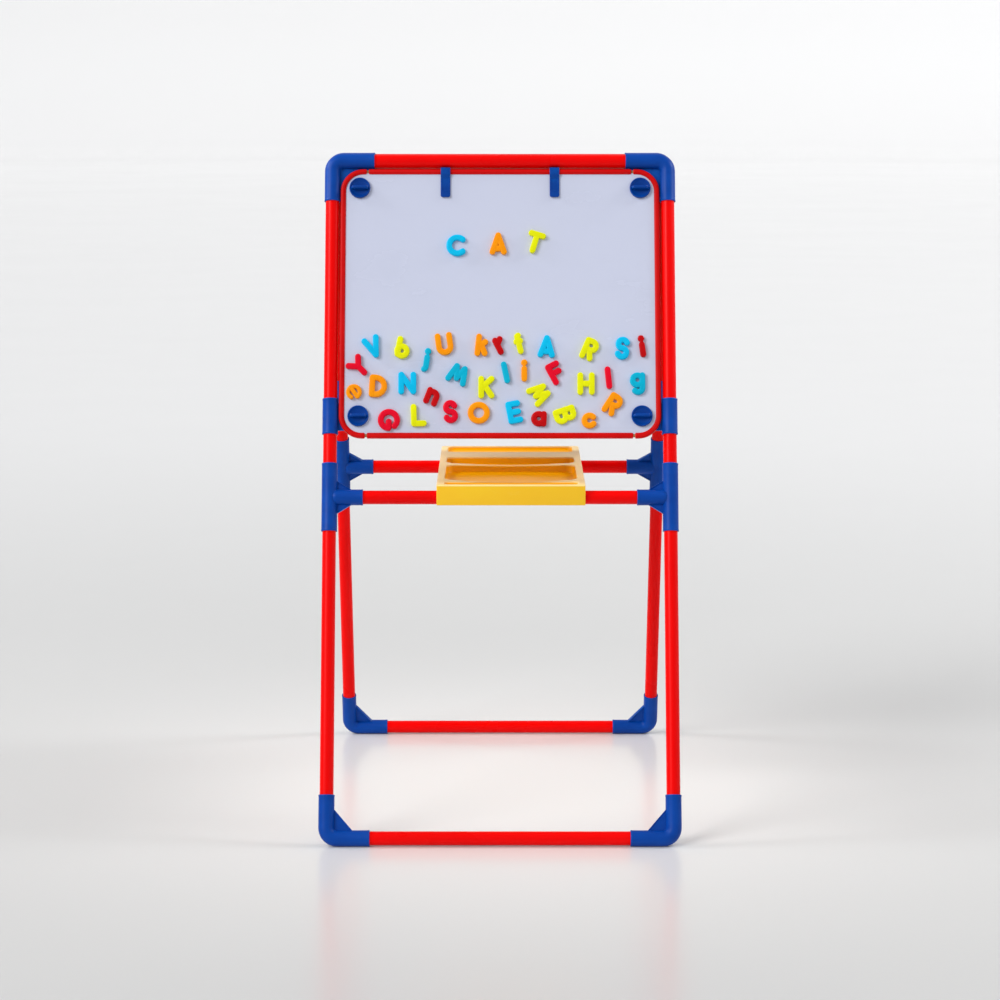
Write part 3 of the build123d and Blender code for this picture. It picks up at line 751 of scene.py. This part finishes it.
# how the bead's ends are rounded off: distance from the end, and size of the section
BEAD_END = ((0.0, 0.72), (0.35, 0.88), (0.9, 0.96), (1.7, 1.0))


def bead_section(x, u, turn):
    """The edging's section at one of its ends, as a closed ring."""
    points = [Vector((x, u - turn * w, v)) for w, v in BEAD]
    draw(points)
    pick_all()
    bpy.ops.mesh.edge_face_add()
    pick_all()
    bpy.ops.mesh.delete(type="ONLY_FACE")


def bead_end(x, u, turn, way, out):
    """Round off the bead's end; way is the direction it runs in along x, out undoes it at the far end."""
    centre = Vector((x, u - turn * 4.5, 4.1))
    steps = BEAD_END[::-1] if out else BEAD_END
    for (far0, size0), (far1, size1) in zip(steps, steps[1:]):
        move = way * abs(far1 - far0)
        push(x=move)
        centre.x += move
        stretch(1, size1 / size0, size1 / size0, centre)
    return centre.x


def model_strip(u, turn):
    """Straight strip along a board's top or bottom edge."""
    begin()
    bead_section(-STRIP_HALF, u, turn)
    pick_all()
    stretch(1, BEAD_END[0][1], BEAD_END[0][1], (-STRIP_HALF, u - turn * 4.5, 4.1))
    bpy.context.tool_settings.mesh_select_mode = (False, True, False)
    x = bead_end(-STRIP_HALF, u, turn, 1, False)
    push(x=-2 * x)
    bead_end(-x, u, turn, 1, True)
    set_aside(holes=True)
    return finish("strip_pattern")


def model_end():
    """C-shaped edging round a board's right-hand end."""
    begin()
    top, bottom = BOARD_HIGH.y, BOARD_LOW.y
    bead_section(TRIM_END, top, 1)
    pick_all()
    stretch(1, BEAD_END[0][1], BEAD_END[0][1], (TRIM_END, top - 4.5, 4.1))
    bpy.context.tool_settings.mesh_select_mode = (False, True, False)
    x = bead_end(TRIM_END, top, 1, 1, False)
    run = BOARD_HALF - BOARD_CORNER - x
    push(x=run)
    swing(-pi / 2, (BOARD_HALF - BOARD_CORNER, top - BOARD_CORNER, 0), 14)
    push(y=-(top - bottom - 2 * BOARD_CORNER))
    swing(-pi / 2, (BOARD_HALF - BOARD_CORNER, bottom + BOARD_CORNER, 0), 14)
    push(x=-run)
    bead_end(x, bottom, -1, -1, True)
    set_aside(holes=True)
    return finish("end_pattern")


strip_top, strip_bottom, bead_c = model_strip(BOARD_HIGH.y, 1), model_strip(BOARD_LOW.y, -1), model_end()
for board, name in (("whiteboard", "front"), ("chalkboard", "rear")):
    place_piece(strip_top, f"{board}_trim_top", STAND[name])
    place_piece(strip_bottom, f"{board}_trim_bottom", STAND[name])
    for side, mirrored in sides(name):
        place_piece(bead_c, f"{board}_trim_{side}", STAND[name], mirrored)
for pattern in (strip_top, strip_bottom, bead_c):
    scrap(pattern)


# ---------------------------------------------------------------- knobs

def model_knob():
    """Quarter-turn knob: a dished head with a thumb ridge across it, a stem and a locking key."""
    begin()
    turn_up(((0, -13.0), (4.0, -13.0), (4.0, 0.0), (16.6, 0.0), (17.3, 0.35), (17.5, 1.0), (17.5, 3.6),
             (17.3, 4.4), (16.8, 4.9), (16.2, 5.0), (15.6, 4.8), (15.0, 4.2), (13.6, 3.1), (10.8, 2.2),
             (6.0, 1.6), (0, 1.5)))
    block((-15.8, -2.7, 0.6), (15.8, 2.7, 11.5))
    pick(lambda c, n: n.z > 0.9)
    stretch(0.76, 0.86, 1, (0, 0, 11.5))
    pick(lambda c, d: abs(d.z) > 5, "EDGE")
    soften(1.6, 3)
    pick(lambda c, d: c.z > 11.4, "EDGE")
    soften(1.5, 4)
    set_aside()
    block((-9, -3, -13.1), (9, 3, -10.1))
    pick(lambda c, d: abs(d.z) > 2, "EDGE")
    soften(2.8, 4)
    pick(lambda c, d: abs(c.z + 13.1) < 0.01, "EDGE")
    soften(0.4, 2)
    set_aside()
    return finish("knob_pattern")


knob_pattern = model_knob()
for node, (name, x, u) in KNOB_AT.items():
    place_piece(knob_pattern, node, STAND[name], moved=(x, u, KNOB_SEAT))
scrap(knob_pattern)


# ---------------------------------------------------------------- paper clips

def model_clip(x, top, width):
    """Spring clip bent from one strip: hook over the board's edge, crease, and a framed plate below."""
    begin()
    half = width / 2 - 0.95
    line = [(top - 32, -1.3), (top - 3.6, -1.3), (top - 1.7, -0.6), (top - 0.95, 1.0), (top - 0.95, 7.4),
            (top - 1.6, 8.9), (top - 3.4, 9.5), (top - 11.8, 9.5), (top - 13.2, 9.2), (top - 16.2, 7.3),
            (top - 17.6, 6.95), (top - 41.6, 6.95), (top - 44.6, 7.2), (top - 51.4, 8.5)]
    draw([(x - half, u, v) for u, v in line])
    bpy.context.tool_settings.mesh_select_mode = (False, True, False)
    pick_all()
    push(x=2 * half)
    pick(lambda c, d: abs(abs(c.x - x) - half) < 0.01
         and (c.y < top - 51.3 or (c.z < -1.2 and c.y < top - 31.9)), "VERT")
    bpy.ops.mesh.bevel(offset=3.5, segments=4, affect="VERTICES")
    pick_all()
    bpy.ops.mesh.normals_make_consistent(inside=False)
    bpy.ops.object.mode_set(mode="OBJECT")
    piece = bpy.context.object
    wall = piece.modifiers.new("wall", "SOLIDIFY")
    wall.thickness, wall.offset = 1.9, 0
    bpy.ops.object.modifier_apply(modifier="wall")
    edge = piece.modifiers.new("edge", "BEVEL")
    edge.width, edge.segments, edge.limit_method, edge.angle_limit = 0.6, 3, "ANGLE", radians(50)
    bpy.ops.object.modifier_apply(modifier="edge")
    bpy.ops.object.mode_set(mode="EDIT")
    pick_all()
    bpy.ops.mesh.normals_make_consistent(inside=False)
    pick(lambda c, n: n.z > 0.95 and top - 42 < c.y < top - 17 and abs(c.x - x) < half - 1)
    bpy.ops.mesh.inset(thickness=2.0)
    bpy.ops.mesh.inset(thickness=0.5)
    shift(z=-0.6)
    bpy.ops.mesh.hide(unselected=False)
    return finish("clip_pattern", 40)


clip_low, clip_high = reach("paper_clip_right", STAND["front"])
clip = model_clip((clip_low.x + clip_high.x) / 2, clip_high.y, clip_high.x - clip_low.x)
place_piece(clip, "paper_clip_right", STAND["front"])
place_piece(clip, "paper_clip_left", STAND["front"], mirrored=True)
scrap(clip)


# ---------------------------------------------------------------- tray

def tray_pan(x, half, ya, yb, top, floor, corner):
    """One pan of the tray, from its rounded rim down to its floor."""
    lip = 1.5
    centre = Vector((x, (ya + yb) / 2, top))
    bpy.context.tool_settings.mesh_select_mode = (True, False, False)
    bpy.ops.mesh.primitive_plane_add(size=1, location=centre)
    stretch(2 * (half + lip), yb - ya + 2 * lip, 1, centre)
    bpy.ops.mesh.bevel(offset=corner + lip, segments=7, affect="VERTICES")
    pick_all()
    bpy.ops.mesh.delete(type="ONLY_FACE")
    pick(lambda c, d: abs(d.x) > 60, "EDGE")
    bpy.ops.mesh.subdivide(number_cuts=9)
    bpy.context.tool_settings.mesh_select_mode = (False, False, True)
    pick_all()
    bpy.ops.mesh.edge_face_add()
    if pick(lambda c, n: n.z < 0):
        bpy.ops.mesh.flip_normals()
    pick_all()
    deep = top - floor
    for inward, down in ((0.75, 0.12), (0.45, 0.4), (0.3, 0.98), (0.5, deep - 4.2), (0.5, 1.4), (0.9, 0.9),
                         (1.4, 0.4)):
        bpy.ops.mesh.inset(thickness=inward, depth=-down)


def model_tray():
    begin()
    low, high = (corner * 1000 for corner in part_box("tray"))
    x = (low.x + high.x) / 2
    half = (high.x - low.x) / 2
    y0, y1, top, under = low.y, high.y, high.z, high.z - 17
    inner = half - 12
    # each pan: from y, to y, floor height, corner radius
    pans = ((-209, -178, 555, 9), (-158, 10, 548.5, 18), (30, 97, 549.5, 12), (158, 228, 556.5, 12))
    for ya, yb, floor, corner in pans:
        tray_pan(x, inner, ya, yb, top, floor, corner)
        pick_all()
        bpy.ops.mesh.hide(unselected=False)
    bpy.ops.mesh.reveal(select=False)
    centre = Vector((x, (y0 + 0.8 + y1) / 2, top))
    bpy.context.tool_settings.mesh_select_mode = (True, False, False)
    bpy.ops.mesh.primitive_plane_add(size=1, location=centre)
    stretch(2 * half - 2.4, y1 - y0 - 3.2, 1, centre)
    bpy.ops.mesh.bevel(offset=4.0, segments=5, affect="VERTICES")
    bpy.ops.mesh.delete(type="ONLY_FACE")
    # fill the top between the outline and the pans, then roll the outline down into the sides
    pick_rim((0, 1), lambda c: abs(c.z - top) < 0.01)
    bpy.ops.mesh.fill(use_beauty=True)
    pick_rim((1,))
    here = Vector((half - 1.2, (y1 - y0 - 0.8) / 2 - 1.2))
    for out, down in ((0.75, 0.2), (0.35, 0.5), (0.1, 0.7), (0.0, 14.6), (-0.3, 0.6), (-0.9, 0.4)):
        push(z=-down)
        goal = here + Vector((out, out))
        stretch(goal.x / here.x, goal.y / here.y, 1, centre)
        here = goal
    bpy.ops.mesh.edge_face_add()
    # the two dividers between the front pans are scooped in the middle
    for column in range(-9, 10):
        dx = column * 12.0
        dip = 3.5 * (1 - (dx / inner) ** 2)
        if pick(lambda c, n: abs(c.x - x - dx) < 6 and top - 1.7 < c.z <= top + 0.1
                and (-181 < c.y < -154 or 7 < c.y < 33) and abs(c.x - x) < inner - 4, "VERT"):
            shift(z=-dip)
    set_aside()
    # hooks over the front crossbar, and rests on the rear one
    _, front_y, front_z = middle("front_crossbar") * 1000
    _, rear_y, rear_z = middle("rear_crossbar") * 1000
    wall = half - 5
    soft_block((x - half + 0.1, y0, front_z - 10.5), (x + half - 0.1, y0 + 3.2, top - 0.4), 1.4, 4)
    soft_block((x - wall, front_y + 12.3, front_z - 6.5), (x + wall, front_y + 14.8, under + 3), 0.8)
    soft_block((x - wall, rear_y - 10, rear_z + 11.6), (x + wall, rear_y + 10, under + 3), 0.6)
    soft_block((x - wall, rear_y + 12.3, rear_z - 1), (x + wall, rear_y + 15.2, under + 3), 0.8)
    return finish("tray_pattern", 32)


tray_pattern = model_tray()
place_piece(tray_pattern, "tray", LEVEL)
scrap(tray_pattern)


# ---------------------------------------------------------------- magnetic letters

HALF_STROKE = 4.9
THICK = 6.0


def crown(edge_test=lambda c: True):
    """Round the top edge of a stroke."""
    pick(lambda c, d: c.z > THICK - 0.3 and abs(d.z) < 0.01 and edge_test(c), "EDGE")
    soften(2.1, 3)


def bar(x0, y0, x1, y1, half=HALF_STROKE):
    """Straight stroke with round ends."""
    def make(lower):
        length = hypot(x1 - x0, y1 - y0)
        block((-length / 2 - half, -half, 0), (length / 2 + half, half, THICK - lower))
        pick(lambda c, d: abs(d.z) > 3, "EDGE")
        soften(half * 0.985, 7)
        crown()
        pick_all()
        bpy.ops.transform.rotate(value=-atan2(y1 - y0, x1 - x0), orient_axis="Z", center_override=(0, 0, 0))
        shift((x0 + x1) / 2, (y0 + y1) / 2)
        set_aside()
    return make


def dot(x, y, radius):
    """Round dot."""
    def make(lower):
        bpy.ops.mesh.primitive_cylinder_add(vertices=28, radius=radius, depth=THICK - lower,
                                            location=(x, y, (THICK - lower) / 2))
        crown()
        set_aside()
    return make


def bow(cx, cy, radius, start, turn, half=HALF_STROKE):
    """Stroke along an arc, with round ends."""
    def make(lower):
        top = THICK - lower
        begin_at = radians(start)
        draw([(cx + radius - half, cy, 0), (cx + radius - half, cy, top), (cx + radius + half, cy, top),
              (cx + radius + half, cy, 0), (cx + radius - half, cy, 0)])
        pick_all()
        bpy.ops.mesh.remove_doubles(threshold=0.002)
        pick_all()
        bpy.ops.transform.rotate(value=-begin_at, orient_axis="Z", center_override=(cx, cy, 0))
        bpy.context.tool_settings.mesh_select_mode = (False, True, False)
        pick_all()
        swing(radians(turn), (cx, cy, 0), max(6, round(abs(turn) / 11)))
        pick_all()
        bpy.ops.mesh.remove_doubles(threshold=0.002)
        if abs(turn) < 360:
            pick_all()
            bpy.ops.mesh.fill_holes(sides=0)
        pick_all()
        bpy.ops.mesh.normals_make_consistent(inside=False)
        crown(lambda c: abs(abs(hypot(c.x - cx, c.y - cy) - radius) - half) < 0.25)
        set_aside()
        if abs(turn) < 360:
            for angle in (start, start + turn):
                spot = (cx + radius * cos(radians(angle)), cy + radius * sin(radians(angle)))
                dot(*spot, half)(lower + 0.02)
    return make


THIN, NECK = 3.5, 2.5
# each letter: where its magnet sits, then its strokes
GLYPHS = {
    "A": ((0, 13), (bar(-9.5, -14, 0, 14), bar(0, 14, 9.5, -14), bar(-7.5, -8.5, 7.5, -8.5))),
    "B": ((-7.5, 0), (bar(-7.5, -14, -7.5, 14), bar(-7.5, 14, 1, 14), bow(1, 7.3, 6.7, 90, -180),
                      bar(2, 0.6, -7.5, 0.6), bow(2, -6.7, 7.3, 90, -180), bar(2, -14, -7.5, -14))),
    "C": ((-12.5, 0), (bow(1, 0, 13.5, 48, 264),)),
    "D": ((-9, 0), (bar(-9, -14, -9, 14), bar(-9, 14, -3, 14), bow(-3, 0, 14, 90, -180),
                    bar(-3, -14, -9, -14))),
    "E": ((-7, 0), (bar(-7, -14, -7, 14), bar(-7, 14, 8, 14), bar(-7, 0, 7, 0), bar(-7, -14, 8, -14))),
    "F": ((-7, 1), (bar(-7, -14, -7, 14), bar(-7, 14, 8, 14), bar(-7, 1, 6, 1))),
    "G": ((-13.5, 0), (bow(0, 0, 13.5, 45, 315), bar(13.5, 0, 3, 0))),
    "H": ((-9.5, 0), (bar(-9.5, -14, -9.5, 14), bar(9.5, -14, 9.5, 14), bar(-9.5, 0, 9.5, 0))),
    "I": ((0, 0), (bar(0, -14, 0, 14),)),
    "K": ((-8, 0), (bar(-8, -14, -8, 14), bar(-8, -2, 9, 14), bar(-3, 3, 9, -14))),
    "L": ((-7, 0), (bar(-7, 14, -7, -14), bar(-7, -14, 9, -14))),
    "M": ((-7, 11), (bar(-13, -12, -7, 12), bar(-7, 12, 0, -7), bar(0, -7, 7, 12), bar(7, 12, 13, -12))),
    "N": ((-10, 12), (bar(-10, -14, -10, 14), bar(-10, 14, 10, -14), bar(10, -14, 10, 14))),
    "O": ((-13.5, 0), (bow(0, 0, 13.5, 0, 360),)),
    "R": ((-7.5, 0), (bar(-7.5, -14, -7.5, 14), bar(-7.5, 14, 1, 14), bow(1, 6.5, 7.5, 90, -180),
                      bar(1, -1, -7.5, -1), bar(0, -1, 6, -14))),
    "S": ((0.5, 0), (bow(0.5, 7.2, 7.2, 20, 250), bow(0.5, -7.2, 7.2, 90, -250))),
    "T": ((0, 13), (bar(-10, 14, 10, 14), bar(0, 14, 0, -14))),
    "U": ((0, -14), (bar(-9.5, 14, -9.5, -4.5), bow(0, -4.5, 9.5, 180, 180), bar(9.5, -4.5, 9.5, 14))),
    "V": ((0, -12), (bar(-10, 14, 0, -14), bar(0, -14, 10, 14))),
    "Y": ((0, 0), (bar(-11, 12, 0, 0), bar(11, 12, 0, 0), bar(0, 0, 0, -14))),
    "a": ((7, 0), (bow(-1, 0, 8, 0, 360), bar(7, 8, 7, -8))),
    "b": ((-6.5, 4), (bow(0, -6, 8, 0, 360), bar(-6.5, 13.5, -6.5, -12))),
    "c": ((-8, 0), (bow(0.5, 0, 8.5, 42, 276),)),
    "e": ((0, 0), (bow(0, 0, 9.6, 0, 300, THIN), bar(-9.6, 0, 9.6, 0, THIN))),
    "f": ((0, 0), (bar(0, -13.5, 0, 12), bar(-3.2, 3.5, 3.2, 3.5), bar(0, 12, 2, 13))),
    "g": ((7, 0), (bow(-1, 6, 8, 0, 360), bar(7, 14, 7, -7), bow(0, -7, 7, 0, -140))),
    "i": ((0, -5), (dot(0, 13.5, 5.4), bar(0, 3, 0, -13.5), bar(0, 13, 0, 5, NECK))),
    "j": ((1, -5), (dot(1, 15, 5.4), bar(1, 4.5, 1, -11), bar(1, 14, 1, 5, NECK), bow(-4, -11, 5, 0, -60))),
    "k": ((-5, 8), (bar(-5, 14, -5, -14), bar(-4, -4, 6, 6), bar(0, 0, 7, -13))),
    "l": ((0, 0), (bar(0, -13.5, 0, 13.5),)),
    "n": ((-7, 0), (bar(-7, 9.5, -7, -9.5), bow(0, 1.5, 7, 180, -180), bar(7, 1.5, 7, -9.5))),
    "r": ((-3, -2), (bar(-3, 10, -3, -11), bar(-3, 2, 5, 9))),
}

# where each letter stands on the whiteboard: letter, x, u, turn anticlockwise
LETTERS = {
    "cyan": (("C", -72, 981, 0), ("V", -210, 808, 21), ("A", 77, 809, -3), ("S", 202, 806, -6),
             ("N", -153, 747, 0), ("E", 23, 698, 11)),
    "teal": (("j", -122, 786, -8), ("M", -69, 762, -22), ("l", 9, 765, 12), ("g", 228, 746, 0)),
    "orange": (("A", -3, 984, 0), ("U", -92, 813, 8), ("k", -31, 811, -6), ("i", 40, 768, 0),
               ("e", -241, 732, -55), ("D", -202, 742, -3), ("R", 186, 711, -33), ("O", -35, 697, 0),
               ("c", 147, 684, 3)),
    "yellow": (("T", 58, 986, -17), ("b", -161, 807, -11), ("f", 31, 814, 14), ("R", 148, 804, -23),
               ("H", 142, 746, 0), ("K", -23, 740, 0), ("M", 65, 729, -57), ("L", -135, 693, 2),
               ("B", 107, 694, -71)),
    "crimson": (("Y", -234, 775, 45), ("F", 92, 764, 28), ("I", 179, 756, 6), ("G", -183, 685, -93),
                ("S", -82, 699, 3)),
    "dark_red": (("r", -1, 811, 27), ("i", 235, 809, 8), ("n", -112, 724, -21), ("a", 65, 687, -2)),
}
letter_low = reach("letters_cyan", STAND["front"])[0].z


def model_letter(name):
    """One letter on the bench; each stroke is a hair lower than the one before, so that no tops coincide."""
    begin()
    for order, stroke in enumerate(GLYPHS[name][1]):
        stroke(0.05 * order)
    return finish(f"letter_{name}", 50)


def model_magnet():
    begin()
    turn_up(((0, -0.02), (2.9, -0.02), (3.2, 0.25), (3.2, 2.2), (0, 2.2)), steps=24)
    return finish("magnet_pattern")


letters_used = sorted({place[0] for group in LETTERS.values() for place in group})
letter_patterns = {name: model_letter(name) for name in letters_used}
magnet_pattern = model_magnet()
for colour, group in LETTERS.items():
    node = f"letters_{colour}"
    parts = []
    for name, x, u, turn in group:
        place = Matrix.Translation((x, u, letter_low)) @ Matrix.Rotation(radians(turn), 4, "Z")
        spot = Matrix.Translation((*GLYPHS[name][0], 0))
        for pattern, at, finish_used in ((letter_patterns[name], place, FINISHES[node]),
                                         (magnet_pattern, place @ spot, FERRITE)):
            part = pattern.copy()
            part.data = pattern.data.copy()
            part.data.transform(STAND["front"] @ at)
            part.data.materials.append(finish_used)
            bpy.context.scene.collection.objects.link(part)
            parts.append(part)
    bpy.ops.object.select_all(action="DESELECT")
    for part in parts:
        part.select_set(True)
    bpy.context.view_layer.objects.active = parts[0]
    bpy.ops.object.join()
    piece = bpy.context.object
    piece.name = f"{node}_mouldings"
    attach(piece, BODY_OF[node])
    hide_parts(node)
for pattern in (*letter_patterns.values(), magnet_pattern):
    scrap(pattern)


# ---------------------------------------------------------------- CAD pieces that are shown as they are

for node, piece in nodes.items():
    if not piece.hide_render:
        piece.material_slots[0].material = FINISHES[SLOT_OF[node]]


# ---------------------------------------------------------------- floor, light and camera

def studio_floor():
    """Pale matt floor, painted whiter away from the easel: painted light standing in for a brighter-lit backdrop.
    """
    f = Finish("studio_floor", Specular_IOR_Level=0.45)
    # painted light: whiter with distance from the easel, for the brightly lit far floor and sweep
    far = f.node("ShaderNodeVectorMath", {"operation": "LENGTH"}, f.place, output="Value").ramp(1.0, 5.0)
    cloud = f.noise(0.8, 3.0)
    grain = f.noise(120.0, 3.0)
    body = f.mix(cloud * 0.6 + grain * 0.2, paint(232, 232, 231), paint(239, 239, 237))
    f.set("Base Color", f.mix(far, body, paint(254, 254, 254)))
    f.set("Roughness", 0.2 + cloud * 0.05)
    f.bump(grain, 0.00004, 0.2)
    return f.material


# a seamless sweep: the floor curves up into a pale wall all round
FLOOR_R = 24.0
CURVE_R = 6.0
WALL_TOP = 9.0
curve = [((0, 0, CURVE_R * (1 - cos(radians(d)))), FLOOR_R + CURVE_R * sin(radians(d)))
         for d in range(10, 91, 10)]
begin()
ring((0, 0, 0), (0, 0, 1), FLOOR_R, 96)
carry((0, 0, 0), FLOOR_R, curve + [((0, 0, WALL_TOP), FLOOR_R + CURVE_R)])
pick(lambda c, d: abs(c.z) < 0.001, "EDGE")
bpy.ops.mesh.edge_face_add()
floor = finish("floor", 60)
if floor.data.polygons[0].normal.z < 0:
    floor.data.flip_normals()
floor.data.materials.append(studio_floor())

world = bpy.data.worlds.new("studio")
bpy.context.scene.world = world
world.use_nodes = True
sky = world.node_tree.nodes["Background"]
sky.inputs["Color"].default_value = (0.98, 0.985, 1.0, 1)
sky.inputs["Strength"].default_value = 0.5

key = bpy.data.lights.new("key", "SUN")
key.energy, key.angle = 1.7, radians(28)
lamp = bpy.data.objects.new("key", key)
lamp.rotation_euler = Vector((0.75, 0.62, -0.66)).to_track_quat("-Z", "Y").to_euler()
bpy.context.scene.collection.objects.link(lamp)

# a soft box each side of the easel, level with the gap between its boards
for side in (-1, 1):
    box = bpy.data.lights.new("side_box", "AREA")
    box.shape, box.size, box.energy, box.spread = "SQUARE", 0.6, 1.7, radians(50)
    lamp = bpy.data.objects.new("side_box", box)
    lamp.location = (side * 1.7, 0.1, 1.9)
    lamp.rotation_euler = (middle("tray") - lamp.location).to_track_quat("-Z", "Y").to_euler()
    bpy.context.scene.collection.objects.link(lamp)

EYE_BACK = 4.916
EYE_HEIGHT = 1.304
LOOK_DOWN = 9.256
lens = bpy.data.cameras.new("camera")
lens.sensor_width = 36.0
lens.lens = 104.76
camera = bpy.data.objects.new("camera", lens)
camera.location = (0, -EYE_BACK, EYE_HEIGHT)
camera.rotation_euler = (radians(90 - LOOK_DOWN), 0, 0)
bpy.context.scene.collection.objects.link(camera)
bpy.context.scene.camera = camera
bpy.context.scene.view_settings.view_transform = "Standard"
